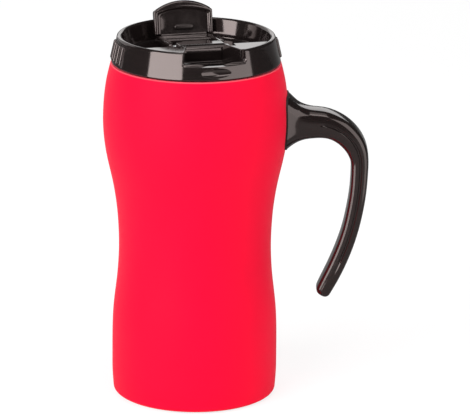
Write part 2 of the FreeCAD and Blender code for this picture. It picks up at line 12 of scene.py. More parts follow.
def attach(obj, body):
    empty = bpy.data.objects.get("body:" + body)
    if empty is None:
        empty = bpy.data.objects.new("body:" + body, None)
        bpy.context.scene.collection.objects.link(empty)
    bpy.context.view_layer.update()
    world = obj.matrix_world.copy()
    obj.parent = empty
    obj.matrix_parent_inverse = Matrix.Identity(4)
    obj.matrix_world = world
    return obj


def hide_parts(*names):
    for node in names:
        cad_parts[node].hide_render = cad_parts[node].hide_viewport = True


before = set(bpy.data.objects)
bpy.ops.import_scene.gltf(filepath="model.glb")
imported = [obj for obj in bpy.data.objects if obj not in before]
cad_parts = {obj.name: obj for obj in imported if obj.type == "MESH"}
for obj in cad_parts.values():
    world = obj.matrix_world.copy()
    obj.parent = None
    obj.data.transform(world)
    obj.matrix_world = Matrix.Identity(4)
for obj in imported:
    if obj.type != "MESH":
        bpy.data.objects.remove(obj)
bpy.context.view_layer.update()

SCENE = bpy.context.scene
MM = 0.001
LID_TOP = 176.4
LID_TURN = Matrix.Rotation(math.radians(-75.8), 4, "Z")


# ------------------------------------------------------------------ outlines
def on_circle(cx, cy, radius, angles):
    """Points on a circle at the given angles in radians."""
    return [(cx + radius * math.cos(t), cy + radius * math.sin(t)) for t in angles]


def arc(cx, cy, radius, start, end, steps):
    """Points along an arc between two angles in degrees."""
    angles = [math.radians(start + (end - start) * i / steps) for i in range(steps + 1)]
    return on_circle(cx, cy, radius, angles)


def rectangle(x0, x1, y0, y1):
    return [(x0, y0), (x1, y0), (x1, y1), (x0, y1)]


def at_height(outline, z):
    return [(x, y, z) for x, y in outline]


def round_corners(points, radii, steps=8):
    """Polygon with rounded corners; radii is one number or a list with one per corner."""
    if not isinstance(radii, list):
        radii = [radii] * len(points)
    out = []
    for i, radius in enumerate(radii):
        corner = Vector(points[i])
        if radius <= 0:
            out.append(tuple(corner))
            continue
        before = Vector(points[i - 1]) - corner
        after = Vector(points[(i + 1) % len(points)]) - corner
        back, ahead = before.normalized(), after.normalized()
        half = back.angle(ahead) / 2
        setback = min(radius / math.tan(half), 0.49 * before.length, 0.49 * after.length)
        radius = setback * math.tan(half)
        start, end = corner + back * setback, corner + ahead * setback
        centre = corner + (back + ahead).normalized() * (radius / math.sin(half))
        first = math.atan2(start.y - centre.y, start.x - centre.x)
        last = math.atan2(end.y - centre.y, end.x - centre.x)
        sweep = (last - first + math.pi) % (2 * math.pi) - math.pi
        angles = [first + sweep * k / steps for k in range(steps + 1)]
        out += on_circle(centre.x, centre.y, radius, angles)
    return out


def grow(points, amount):
    """Move each point of a counterclockwise outline outwards along its own normal."""
    out = []
    for i, (x, y) in enumerate(points):
        ax, ay = points[i - 1]
        bx, by = points[(i + 1) % len(points)]
        tx, ty = bx - ax, by - ay
        length = math.hypot(tx, ty) or 1.0
        out.append((x + amount * ty / length, y - amount * tx / length))
    return out


def natural_cubic(xs, ys):
    """Natural cubic spline through the points, held at its end values outside them."""
    x, y = np.array(xs, float), np.array(ys, float)
    n = len(x)
    h = np.diff(x)
    matrix, right = np.zeros((n, n)), np.zeros(n)
    matrix[0, 0] = matrix[-1, -1] = 1.0
    for i in range(1, n - 1):
        matrix[i, i - 1:i + 2] = h[i - 1], 2 * (h[i - 1] + h[i]), h[i]
        right[i] = 6 * ((y[i + 1] - y[i]) / h[i] - (y[i] - y[i - 1]) / h[i - 1])
    bend = np.linalg.solve(matrix, right)

    def value(q):
        q = np.clip(q, x[0], x[-1])
        i = np.clip(np.searchsorted(x, q) - 1, 0, n - 2)
        left, done = x[i + 1] - q, q - x[i]
        return ((bend[i] * left ** 3 + bend[i + 1] * done ** 3) / (6 * h[i])
                + (y[i] / h[i] - bend[i] * h[i] / 6) * left
                + (y[i + 1] / h[i] - bend[i + 1] * h[i] / 6) * done)
    return value


# ------------------------------------------------------------------ meshes
def fix_normals(ob):
    bm = bmesh.new()
    bm.from_mesh(ob.data)
    bmesh.ops.recalc_face_normals(bm, faces=bm.faces)
    if bm.calc_volume(signed=True) < 0:
        bmesh.ops.reverse_faces(bm, faces=bm.faces)
    bm.to_mesh(ob.data)
    bm.free()


def mesh_object(name, verts, faces):
    mesh = bpy.data.meshes.new(name)
    mesh.from_pydata(verts, [], faces)
    mesh.validate()
    ob = bpy.data.objects.new(name, mesh)
    SCENE.collection.objects.link(ob)
    fix_normals(ob)
    return ob


def lathe(name, profile, segments):
    """Turn a closed loop of (radius, z) points about Z. Points on the axis become poles."""
    verts, rings = [], []
    for r, z in profile:
        base = len(verts)
        if r < 1e-6:
            rings.append([base] * segments)
            verts.append((0, 0, z))
        else:
            rings.append(list(range(base, base + segments)))
            angles = [2 * math.pi * i / segments for i in range(segments)]
            verts += at_height(on_circle(0, 0, r, angles), z)
    faces = []
    for k, low in enumerate(rings):
        high = rings[(k + 1) % len(rings)]
        for i in range(segments):
            j = (i + 1) % segments
            # a quad loses its repeated corners beside a pole
            face = list(dict.fromkeys((low[i], low[j], high[j], high[i])))
            if len(face) > 2:
                faces.append(face)
    return mesh_object(name, verts, faces)


def prism(name, outline, z0, z1):
    n = len(outline)
    verts = at_height(outline, z0) + at_height(outline, z1)
    faces = [tuple(range(n))[::-1], tuple(range(n, 2 * n))]
    faces += [(i, (i + 1) % n, n + (i + 1) % n, n + i) for i in range(n)]
    return mesh_object(name, verts, faces)


def skin(rings):
    """Points and faces over rings of equal length, with a face closing the first ring."""
    m = len(rings[0])
    verts = [p for ring in rings for p in ring]
    faces = [(k * m + j, k * m + (j + 1) % m, (k + 1) * m + (j + 1) % m, (k + 1) * m + j)
             for k in range(len(rings) - 1) for j in range(m)]
    faces.append(tuple(range(m))[::-1])
    return verts, faces


def stack(name, rings):
    """Skinned rings with a face at each end."""
    verts, faces = skin(rings)
    faces.append(tuple(range(len(verts) - len(rings[0]), len(verts))))
    return mesh_object(name, verts, faces)


def rod(name, start, end, radius, segments, dome=False):
    """Cylinder between two points; a domed one has a half sphere around each."""
    start, end = Vector(start), Vector(end)
    length = (end - start).length
    if dome:
        profile = arc(0, 0, radius, -90, 0, 10) + arc(0, length, radius, 0, 90, 10)
    else:
        profile = [(0, 0), (radius, 0), (radius, length), (0, length)]
    ob = lathe(name, profile, segments)
    turn = (end - start).normalized().to_track_quat("Z", "Y").to_matrix().to_4x4()
    ob.data.transform(Matrix.Translation(start) @ turn)
    return ob


def rod_across(name, x, z, reach, radius, segments):
    return rod(name, (x, -reach, z), (x, reach, z), radius, segments)


def lay_across(ob, shift=0.0):
    """Swap Y and Z, so that a height becomes a width, then move the piece along Y."""
    ob.data.transform(Matrix(((1, 0, 0, 0), (0, 0, 1, shift), (0, 1, 0, 0), (0, 0, 0, 1))))
    fix_normals(ob)
    return ob


def apply_modifiers(ob):
    depsgraph = bpy.context.evaluated_depsgraph_get()
    depsgraph.update()
    mesh = bpy.data.meshes.new_from_object(ob.evaluated_get(depsgraph), depsgraph=depsgraph)
    old = ob.data
    ob.modifiers.clear()
    ob.data = mesh
    bpy.data.meshes.remove(old)


def combine(ob, operation, others):
    for other in others:
        modifier = ob.modifiers.new("b", "BOOLEAN")
        modifier.operation = operation
        modifier.solver = "EXACT"
        modifier.object = other
        apply_modifiers(ob)
        mesh = other.data
        bpy.data.objects.remove(other)
        if mesh.users == 0:
            bpy.data.meshes.remove(mesh)


def cut(ob, *others):
    combine(ob, "DIFFERENCE", others)


def unite(ob, *others):
    combine(ob, "UNION", others)


def tidy(ob):
    """Merge points the cuts left on top of each other, drop slivers and fill small holes."""
    bm = bmesh.new()
    bm.from_mesh(ob.data)
    bmesh.ops.remove_doubles(bm, verts=bm.verts, dist=0.002)
    bmesh.ops.dissolve_degenerate(bm, dist=0.002, edges=bm.edges)
    loose = [v for v in bm.verts if not v.link_faces]
    bmesh.ops.delete(bm, geom=loose, context="VERTS")
    holes = [e for e in bm.edges if e.is_boundary]
    if holes:
        bmesh.ops.holes_fill(bm, edges=holes, sides=12)
    bm.to_mesh(ob.data)
    bm.free()


def smooth_shade(ob, angle):
    """Smooth shading, with edges sharper than the angle in degrees kept hard."""
    mesh = ob.data
    mesh.polygons.foreach_set("use_smooth", [True] * len(mesh.polygons))
    mesh.set_sharp_from_angle(angle=math.radians(angle))
    mesh.update()


def finish_moulding(ob, angle):
    tidy(ob)
    smooth_shade(ob, angle)
    modifier = ob.modifiers.new("w", "WEIGHTED_NORMAL")
    modifier.keep_sharp = True
    modifier.weight = 80


def to_metres(ob):
    ob.data.transform(Matrix.Scale(MM, 4))
    return ob


# ------------------------------------------------------------------ shell
# outer profile: z, radius
SHELL_PROFILE = [
    (2.9, 39.05), (10, 39.55), (18, 39.63), (26, 39.62), (34, 39.5), (42, 39.1),
    (50, 38.25), (58, 37.3), (66, 36.7), (74, 36.48), (82, 36.7), (90, 37.25),
    (98, 38.25), (106, 39.68), (114, 41.5), (120, 42.72), (127, 43.68), (134, 44.1),
    (140, 44.02), (147, 43.55), (154, 42.6), (160, 41.3), (162.6, 40.62)]
# rounded top edge and the step down inside the mouth: radius, z
SHELL_MOUTH = [
    (40.57, 162.75), (40.46, 162.88), (40.28, 162.98), (40.09, 163.03), (39.9, 163.05),
    (38.3, 163.05), (38.05, 162.85), (38.05, 157.5), (40.9, 152.0)]
# bottom edge, and the step inside it that closes the loop: radius, z
SHELL_FOOT = [(37.1, 0.62), (37.22, 0.5), (37.3, 0.5)]
SHELL_INNER_STEP = [(37.2, 6.0), (34.9, 6.0), (34.9, 4.65), (37.1, 4.65)]
SHELL_WALL = 2.0
FOOT_ROUND = 2.4
shell_radius = natural_cubic(*zip(*SHELL_PROFILE))


def build_shell():
    foot_z, foot_radius = SHELL_PROFILE[0]
    top_z = SHELL_PROFILE[-1][0]
    profile = SHELL_FOOT + arc(foot_radius - FOOT_ROUND, foot_z, FOOT_ROUND, -74, -2, 10)
    profile += [(shell_radius(z), z) for z in np.linspace(foot_z, top_z, 150)]
    profile += SHELL_MOUTH
    profile += [(shell_radius(z) - SHELL_WALL, z) for z in np.linspace(149.0, 9.0, 90)]
    profile += SHELL_INNER_STEP
    ob = lathe("shell_soft_touch", profile, 256)
    smooth_shade(ob, 38)
    return to_metres(ob)


# ------------------------------------------------------------------ handle
# along the handle from its root to its tip: outer x, z, inner x, z, width along Y
HANDLE_STATIONS = np.array([
    (38.5, 150.0, 38.5, 119.0, 24.0), (42.0, 148.9, 42.0, 120.6, 22.6),
    (44.0, 147.6, 44.0, 122.2, 20.8), (46.0, 145.8, 46.0, 123.7, 19.2),
    (48.4, 143.7, 48.4, 125.1, 17.9), (51.4, 142.0, 51.4, 126.3, 16.9),
    (55.4, 140.9, 55.4, 127.0, 16.2), (61.0, 140.25, 60.8, 127.2, 16.0),
    (66.0, 138.8, 64.2, 126.5, 16.0), (71.0, 136.2, 67.0, 125.1, 16.0),
    (75.6, 132.4, 69.6, 123.0, 15.9), (79.2, 127.8, 71.6, 120.7, 15.7),
    (81.5, 122.6, 73.1, 118.1, 15.4), (82.35, 117.0, 74.1, 115.0, 15.1),
    (82.3, 110.5, 74.3, 110.4, 14.8), (81.6, 100.4, 73.85, 101.2, 14.4),
    (80.1, 90.2, 72.5, 91.7, 14.0), (77.7, 79.6, 70.4, 81.8, 13.5),
    (74.5, 69.6, 67.3, 72.3, 13.0), (70.5, 60.0, 63.6, 63.3, 12.3),
    (66.9, 52.9, 60.3, 56.2, 11.6), (65.1, 49.6, 59.0, 53.4, 10.9),
])
HANDLE_CROWN = 0.12     # swell of the outer and inner faces
HANDLE_BULGE = 0.20     # swell of the two sides
GROOVE_DEPTH = 0.55
GROOVE_HALF = 0.50
# points across the groove, from its middle
GROOVE_STEPS = (-0.95, -0.70, -0.50, -0.30, 0.0, 0.30, 0.50, 0.70, 0.95)
TIP_DEPTH = 3.5
HANDLE_GAP = 0.92       # clearance between the handle's root and the shell


def handle_section(thick, width, groove):
    """Cross-section as (u across the thickness, v across the width), going round once."""
    half_u, half_v = thick / 2, width / 2
    radius = 0.30 * min(thick, width)
    flat_u, flat_v = half_u - radius, half_v - radius
    groove_u = 0.04 * thick
    middle = [groove_u + step for step in GROOVE_STEPS]
    us = [*np.linspace(-flat_u, middle[0], 5)[:-1], *middle,
          *np.linspace(middle[-1], flat_u, 5)[1:]]
    vs = np.linspace(-flat_v, flat_v, 13)

    def side(sign, seq):
        points = []
        for u in seq:
            dip = groove * math.exp(-(((u - groove_u) / GROOVE_HALF) ** 4))
            bulge = HANDLE_BULGE * (1 - (u / flat_u) ** 2)
            points.append((u, sign * (half_v - dip + bulge)))
        return points

    def face(sign, seq):
        return [(sign * (half_u + HANDLE_CROWN * (1 - (v / flat_v) ** 2)), v) for v in seq]

    def corner(u, v, start):
        return on_circle(u, v, radius, [math.radians(start + 90.0 * k / 9) for k in range(1, 9)])

    return (face(1, vs) + corner(flat_u, flat_v, 0)
            + side(1, us[::-1]) + corner(-flat_u, flat_v, 90)
            + face(-1, vs[::-1]) + corner(-flat_u, -flat_v, 180)
            + side(-1, us) + corner(flat_u, -flat_v, 270))


def handle_ring(station, groove, advance=(0.0, 0.0), thin=1.0, narrow=1.0):
    """The section set at a station, moved by advance and scaled in thickness and width."""
    outer, inner, width = station[:2], station[2:4], station[4]
    across = outer - inner
    thick = np.linalg.norm(across)
    across = across / thick
    cx, cz = (outer + inner) / 2
    return [(cx + across[0] * u * thin + advance[0], v * narrow,
             cz + across[1] * u * thin + advance[1])
            for u, v in handle_section(thick, width, groove)]


def build_handle():
    centres = (HANDLE_STATIONS[:, :2] + HANDLE_STATIONS[:, 2:4]) / 2
    lengths = np.linalg.norm(np.diff(centres, axis=0), axis=1)
    travel = np.r_[0, np.cumsum(lengths)]
    total = travel[-1]
    curves = [natural_cubic(travel, column) for column in HANDLE_STATIONS.T]
    rings = []
    for t in np.linspace(0, total, 220):
        # the groove fades in after the root and out before the tip
        fade_in = np.clip((t - 20.5) / 2.5, 0, 1)
        fade_out = np.clip((total - 6 - t) / 12.0, 0, 1)
        station = np.array([curve(t) for curve in curves])
        rings.append(handle_ring(station, GROOVE_DEPTH * fade_in * fade_out))
    # rounded tip: the last section shrinks along a quarter round
    tangent = centres[-1] - centres[-2]
    tangent = tangent / np.linalg.norm(tangent)
    for k in range(1, 11):
        angle = math.radians(90 * k / 11)
        shrink = math.cos(angle)
        rings.append(handle_ring(HANDLE_STATIONS[-1], 0.0,
                                 advance=tangent * TIP_DEPTH * math.sin(angle),
                                 thin=shrink ** 0.8, narrow=0.30 + 0.70 * shrink))
    verts, faces = skin(rings)
    m, apex = len(rings[0]), len(verts)
    last = apex - m
    x, z = centres[-1] + tangent * (TIP_DEPTH + 0.02)
    verts.append((x, 0.0, z))
    faces += [(last + j, last + (j + 1) % m, apex) for j in range(m)]
    ob = mesh_object("handle_hook", verts, faces)
    # hollow the root to follow the shell
    core = [(shell_radius(z) + HANDLE_GAP, z) for z in np.linspace(100, 160, 60)]
    cut(ob, lathe("core", [(0, 100)] + core + [(0, 160)], 360))
    smooth_shade(ob, 40)
    return to_metres(ob)


# ------------------------------------------------------------------ lid
RIM_ROUND = 1.3
BASIN_TOP, BASIN_BOTTOM = 35.1, 33.35           # radii of the basin wall
BASIN_ROUND = 1.2
FLOOR_Z, UNDER_Z = LID_TOP - 9.5, 164.9
ROOT_Z = UNDER_Z + 0.6                          # where the added blocks begin inside the lid
TUBE_ROOT_Z = UNDER_Z + 0.5
TUBE_END_Z = 145.7
RIM_CENTRE = BASIN_TOP + RIM_ROUND
SKIRT_Z, SKIRT_ROUND, SKIRT_RADIUS = 164.2, 0.5, 40.2
DECK_BACK, DECK_Z = 16.3, LID_TOP - 0.45
DECK_SLOPE = math.tan(math.radians(1.65))       # the deck falls away from its outer edge
DECK_SLOPE_START = 33.5
# rounded rear edge of the deck: height from its top, setback
DECK_EDGE = [(-1.0, 0.0), (-0.62, 0.07), (-0.29, 0.29), (-0.07, 0.62), (0.0, 1.0)]
BAR_BACK, BAR_FRONT, BAR_Z = 4.4, 15.0, LID_TOP - 1.8
BAR_FRONT_ROUND, BAR_BACK_ROUND, BAR_HALF = 3.6, 0.9, 11.0
PIVOT_BACK, PIVOT_FRONT, PIVOT_Z = -4.3, 6.0, LID_TOP - 3.4
PIVOT_ROUND, PIVOT_HALF = 2.6, 7.0
SLOT_BACK, SLOT_RADIUS = 15.6, 36.1
SLOT_BACK_HALF, SLOT_FRONT_HALF = 8.6, 14.3
NOTCH_HALF, NOTCH_Z = 14.8, LID_TOP - 5.3
# notch through the collar: radius, growth of its outline
NOTCH_STEPS = [
    (34.4, 0.55), (34.6, 0.30), (34.9, 0.12), (35.4, 0.0), (36.9, 0.0),
    (37.4, 0.10), (37.8, 0.28), (38.25, 0.62), (38.7, 1.15), (50, 1.3)]
POCKET_Z = LID_TOP - 2.7
SPOUT_BACK, SPOUT_FRONT, SPOUT_HALF, SPOUT_WALL = 16.5, 26.5, 8.0, 1.2
VENT_X, VENT_Y = -9, 17
RIB_DEGREES = (78.0, 84.0, 90.0, 96.0, 102.0)

# The cap's pin rides on the side arms from its open to its closed place, turning ARM_SWING
# degrees about the arm pivot. Places are x and height above the lid top, in the lid's frame.
PIN_OPEN, PIN_CLOSED = (-24.0, -7.35), (21.8, 1.6)
ARM_SWING, CAP_OPEN_ANGLE = 166.0, 102.0
chord_x, chord_z = PIN_CLOSED[0] - PIN_OPEN[0], PIN_CLOSED[1] - PIN_OPEN[1]
chord_angle = math.atan2(chord_z, chord_x)
pivot_drop = 0.5 * math.hypot(chord_x, chord_z) / math.tan(math.radians(ARM_SWING / 2))
ARM_PIVOT = (0.5 * (PIN_OPEN[0] + PIN_CLOSED[0]) + pivot_drop * math.sin(chord_angle),
             0.5 * (PIN_OPEN[1] + PIN_CLOSED[1]) - pivot_drop * math.cos(chord_angle))
arm_x, arm_z = PIN_OPEN[0] - ARM_PIVOT[0], PIN_OPEN[1] - ARM_PIVOT[1]
ARM_LENGTH = math.hypot(arm_x, arm_z)
ARM_OPEN_ANGLE = math.degrees(math.atan2(arm_z, arm_x)) % 360.0


def place_in_lid(ob, origin, angle):
    """Tip a piece from the lid's +X towards up by degrees, then set it at origin in the lid."""
    move = Matrix.Translation((origin[0], 0, LID_TOP + origin[1]))
    tip = Matrix.Rotation(-math.radians(angle), 4, "Y")
    ob.data.transform(LID_TURN @ move @ tip)
    return to_metres(ob)


def eased_cutter(name, plan, bottom, ease):
    """Cutter whose mouth flares at deck height, so that the edge it leaves is rounded."""
    levels = [(bottom, 0.0)]
    for angle in map(math.radians, (0, 18, 36, 54, 72, 84)):
        levels.append((DECK_Z - ease * (1 - math.sin(angle)), ease * (1 - math.cos(angle))))
    levels += [(DECK_Z + 0.02, ease), (DECK_Z + 6.0, ease * 1.02)]
    return stack(name, [at_height(grow(plan, amount), z) for z, amount in levels])


def lid_body():
    """Plug, leaning collar, rounded rim and basin."""
    rim_z = LID_TOP - RIM_ROUND
    height = rim_z - SKIRT_Z
    lean = SKIRT_RADIUS - (RIM_CENTRE + RIM_ROUND)
    profile = [(0, UNDER_Z), (37.6, UNDER_Z), (37.6, 163.7)]
    profile += arc(SKIRT_RADIUS - SKIRT_ROUND, SKIRT_Z, SKIRT_ROUND, -90, 0, 6)
    for up in np.linspace(0.6, 10.2, 8):
        hollow = 0.10 * math.sin(math.pi * up / height)
        profile.append((SKIRT_RADIUS - lean * up / height - hollow, SKIRT_Z + up))
    profile += arc(RIM_CENTRE, rim_z, RIM_ROUND, 6, 176, 22)
    profile += arc(BASIN_BOTTOM - BASIN_ROUND, FLOOR_Z + BASIN_ROUND, BASIN_ROUND, 0, -90, 8)
    profile.append((0, FLOOR_Z))
    return lathe("lid_moulding", profile, 360)


def lid_deck():
    """Front deck inside the rim."""
    half = math.pi / 2 - math.asin(DECK_BACK / RIM_CENTRE)
    front = on_circle(0, 0, RIM_CENTRE, np.linspace(-half, half, 121))
    rings = [[(max(x, DECK_BACK), y, ROOT_Z) for x, y in front]]
    for rise, setback in DECK_EDGE:
        ring = []
        for x, y in front:
            x = max(x, DECK_BACK + setback)
            fall = DECK_SLOPE * max(0.0, DECK_SLOPE_START - x)
            ring.append((x, y, DECK_Z + rise - fall))
        rings.append(ring)
    return stack("deck", rings)


def lid_blocks():
    """Cross bar behind the deck and the pivot block behind the bar."""
    bar = [(BAR_BACK, ROOT_Z), (BAR_FRONT, ROOT_Z)]
    bar += arc(BAR_FRONT - BAR_FRONT_ROUND, BAR_Z - BAR_FRONT_ROUND, BAR_FRONT_ROUND, 0, 87, 14)
    bar += arc(BAR_BACK + BAR_BACK_ROUND, BAR_Z - 1.23, BAR_BACK_ROUND, 93, 180, 6)
    pivot = [(PIVOT_BACK, ROOT_Z), (PIVOT_FRONT, ROOT_Z), (PIVOT_FRONT, PIVOT_Z)]
    pivot += arc(PIVOT_BACK + PIVOT_ROUND, PIVOT_Z - PIVOT_ROUND, PIVOT_ROUND, 90, 180, 10)
    blocks = []
    for name, outline, half in (("bar", bar, BAR_HALF), ("pivot", pivot, PIVOT_HALF)):
        ob = lay_across(prism(name, outline, -half, half))
        bevel = ob.modifiers.new("b", "BEVEL")
        bevel.width, bevel.segments = 0.5, 3
        bevel.limit_method, bevel.angle_limit = "ANGLE", math.radians(60)
        apply_modifiers(ob)
        blocks.append(ob)
    return blocks


def slot_cutter():
    """Drinking slot, its sides drawing together towards the bar."""
    half = math.asin(SLOT_FRONT_HALF / SLOT_RADIUS)
    front = on_circle(0, 0, SLOT_RADIUS, np.linspace(-half, half, 48))
    length, spread = front[0][0] - SLOT_BACK, SLOT_FRONT_HALF - SLOT_BACK_HALF
    side = [(SLOT_BACK + length * k, -(SLOT_BACK_HALF + spread * k))
            for k in (0, 0.12, 0.35, 0.65, 0.88)]
    plan = side + front + [(x, -y) for x, y in side[::-1]]
    return eased_cutter("slot", plan, FLOOR_Z - 0.9, ease=0.7)


def notch_cutter():
    """Front notch, its lower corners and its edges rounded."""
    rings = []
    for radius, growth in NOTCH_STEPS:
        half = NOTCH_HALF + growth
        outline = rectangle(-half, half, NOTCH_Z - growth, LID_TOP + 8)
        rings.append([(math.sqrt(radius * radius - y ** 2), y, z)
                      for y, z in round_corners(outline, [1.6, 1.6, 0, 0])])
    return stack("notch", rings)


def cut_arm_pockets(lid):
    """Pockets for the side arms, and the channel between them for the cross rod."""
    for y0, y1 in ((11.0, 13.85), (-13.85, -11.0)):
        plan = round_corners(rectangle(14.5, 21.95, y0, y1), 0.3, steps=3)
        cut(lid, eased_cutter("pocket", plan, POCKET_Z, ease=0.3))
    cut(lid, prism("channel", rectangle(15.2, 17.1, -11.3, 11.3), POCKET_Z, LID_TOP + 2))


def cut_oval_recess(lid):
    """Oval hollow in the front of the collar."""
    ball = lathe("recess", [(0, -1)] + arc(0, 0, 1, -84, 84, 28) + [(0, 1)], 120)
    centre = Matrix.Translation((40.25, 0, LID_TOP - 9.1))
    ball.data.transform(centre @ Matrix.Diagonal((2.4, 8.9, 2.5, 1)))
    cut(lid, ball)


def add_tubes(lid):
    """Spout and vent tubes below the lid, with their bores."""
    half = SPOUT_HALF + SPOUT_WALL
    outer = rectangle(SPOUT_BACK - SPOUT_WALL, SPOUT_FRONT + SPOUT_WALL, -half, half)
    inner = rectangle(SPOUT_BACK, SPOUT_FRONT, -SPOUT_HALF, SPOUT_HALF)

    def vent(radius, z0, z1):
        return rod("vent", (VENT_X, VENT_Y, z0), (VENT_X, VENT_Y, z1), radius, 40)
    unite(lid, prism("spout", round_corners(outer, 2.6), TUBE_END_Z, TUBE_ROOT_Z),
          vent(1.9, TUBE_END_Z, TUBE_ROOT_Z))
    cut(lid, prism("spout_bore", round_corners(inner, 1.8), 140, LID_TOP - 8),
        vent(1.0, 140, LID_TOP + 2))


def add_ribs(lid):
    """Upright ribs on both sides of the collar."""
    for side in (1, -1):
        for degrees in RIB_DEGREES:
            rib = rod("rib", (39.85, 0, 165.9), (38.15, 0, 173.4), 0.85, 32, dome=True)
            rib.data.transform(Matrix.Rotation(math.radians(side * degrees), 4, "Z"))
            unite(lid, rib)


def build_lid():
    lid = lid_body()
    unite(lid, lid_deck(), *lid_blocks())
    cut(lid, slot_cutter())
    cut(lid, notch_cutter())
    cut_arm_pockets(lid)
    cut_oval_recess(lid)
    add_tubes(lid)
    cut(lid, rod_across("bore", ARM_PIVOT[0], LID_TOP + ARM_PIVOT[1], 15, 1.08, 48))
    add_ribs(lid)
    finish_moulding(lid, 34)
    lid.data.transform(LID_TURN)
    return to_metres(lid)


# ------------------------------------------------------------------ cap, stopper, arms
# The cap is built lying closed: x from its pin, y across, z up.
CAP_HALF, CAP_RADIUS, CAP_CORNER = 14.35, 38.0, 1.3
CAP_AXIS = PIN_CLOSED[0]        # distance from the pin back to the lid's axis
CAP_FLOOR = -0.3                # floor of the recess under the cap
# cap from the slightly dished recess floor, round its lower edge, to the top:
# z, inset of the outline, x of its back edge
CAP_RINGS = [
    (CAP_FLOOR + 0.07, 6.4, 5.8), (CAP_FLOOR + 0.065, 5.5, 4.95), (CAP_FLOOR + 0.05, 4.6, 4.1),
    (CAP_FLOOR + 0.025, 3.7, 3.25), (CAP_FLOOR, 2.9, 2.5), (CAP_FLOOR, 2.5, 2.1),
    (CAP_FLOOR - 0.12, 2.15, 1.82), (CAP_FLOOR - 0.42, 1.93, 1.62), (-1.05, 1.82, 1.52),
    (-1.33, 1.58, 1.34), (-1.45, 1.2, 1.12), (-1.45, 0.62, 0.9), (-1.34, 0.27, 0.3),
    (-1.12, 0.07, 0.05), (-0.8, 0.0, 0.0), (1.5, 0.0, 0.0), (1.95, 0.08, 0.08),
    (2.25, 0.27, 0.27), (2.5, 0.62, 0.62), (2.6, 1.1, 1.1)]
LIP_RADIUS, LIP_ROUND, LIP_REACH, LIP_HALF, LIP_Z = 24.5, 1.2, 1.9, 13.3, -0.2
BARREL_HALF = 11.15
BARREL_END = [(0, 0), (1.5, 0), (1.72, 0.08), (1.8, 0.3)]     # radius, distance from the end
STOPPER_X, STOPPER_Y, STOPPER_RADIUS = 5.3, 3.3, 1.45
# stopper downwards: z from the recess floor, inset
STOPPER_RINGS = [
    (0.3, 0.0), (-0.75, 0.0), (-1.05, 0.06), (-1.3, 0.22), (-1.47, 0.45), (-1.57, 0.75),
    (-1.6, 1.1)]
ARM_PIVOT_RADIUS, ARM_PIN_RADIUS = 2.2, 1.8
ARM_NEAR, ARM_FAR = 11.3, 13.5          # faces of an arm, from the lid's middle


def cap_outline(inset, back):
    """Plan of the cap: straight sides, corner rounds and the front arc."""
    q = CAP_CORNER
    half, radius = CAP_HALF - inset, CAP_RADIUS - inset
    corner_x = math.sqrt((radius - q) ** 2 - (half - q) ** 2) - CAP_AXIS
    turn = math.atan2(half - q, corner_x + CAP_AXIS)
    xs = [back + (corner_x - back) * k for k in (0, 0.25, 0.5, 0.75)]
    points = [(x, -half) for x in xs]
    points += on_circle(corner_x, -(half - q), q, np.linspace(-math.pi / 2, -turn, 12))
    points += on_circle(-CAP_AXIS, 0, radius, np.linspace(-turn, turn, 62)[1:-1])
    points += on_circle(corner_x, half - q, q, np.linspace(turn, math.pi / 2, 12))
    return points + [(x, half) for x in xs[::-1]]


def cap_lip():
    """Rounded lip along the front edge of the cap."""
    centre = CAP_RADIUS - CAP_AXIS + LIP_REACH - LIP_RADIUS
    ys = np.linspace(-LIP_HALF, LIP_HALF, 81)
    inner = [(math.sqrt((CAP_RADIUS - 1.0) ** 2 - y * y) - CAP_AXIS, y) for y in ys]
    rings = []
    for angle in map(math.radians, np.linspace(-82, 82, 13)):
        radius = LIP_RADIUS - LIP_ROUND * (1 - math.cos(angle))
        outer = [(max(centre + math.sqrt(radius * radius - y * y), x + 0.1), y)
                 for x, y in inner]
        rings.append(at_height(outer + inner[::-1], LIP_Z + LIP_ROUND * math.sin(angle)))
    return stack("lip", rings)


def build_cap():
    cap = stack("cap_moulding",
                [at_height(cap_outline(inset, back), z) for z, inset, back in CAP_RINGS])
    unite(cap, cap_lip())
    profile = BARREL_END + [(r, 2 * BARREL_HALF - z) for r, z in BARREL_END[::-1]]
    unite(cap, lay_across(lathe("barrel", profile, 72), -BARREL_HALF))
    # clear the back corners beyond the barrel for the arms
    for y0, y1 in ((BARREL_HALF, 16), (-16, -BARREL_HALF)):
        cut(cap, prism("corner", rectangle(-4, 2.3, y0, y1), -4, 4))
    cut(cap, rod_across("bore", 0, 0, 20, 0.97, 48))
    finish_moulding(cap, 38)
    return place_in_lid(cap, PIN_OPEN, CAP_OPEN_ANGLE)


def build_stopper():
    """Long rounded nub in the recess of the cap."""
    rings = []
    for z, inset in STOPPER_RINGS:
        radius = STOPPER_RADIUS - inset
        outline = on_circle(STOPPER_X, STOPPER_Y, radius, np.linspace(0, math.pi, 25))
        outline += on_circle(STOPPER_X, -STOPPER_Y, radius,
                             np.linspace(math.pi, 2 * math.pi, 25))
        rings.append(at_height(outline, CAP_FLOOR + z))
    ob = stack("stopper_nub", rings)
    smooth_shade(ob, 40)
    return place_in_lid(ob, PIN_OPEN, CAP_OPEN_ANGLE)


def arm_outline(inset):
    """Side view of an arm: x from the pivot towards the pin, z."""
    tilt = math.asin((ARM_PIVOT_RADIUS - ARM_PIN_RADIUS) / ARM_LENGTH)
    quarter = math.pi / 2
    return (on_circle(0, 0, ARM_PIVOT_RADIUS - inset,
                      np.linspace(quarter - tilt, 3 * quarter + tilt, 25))
            + on_circle(ARM_LENGTH, 0, ARM_PIN_RADIUS - inset,
                        np.linspace(-quarter + tilt, quarter - tilt, 25)))


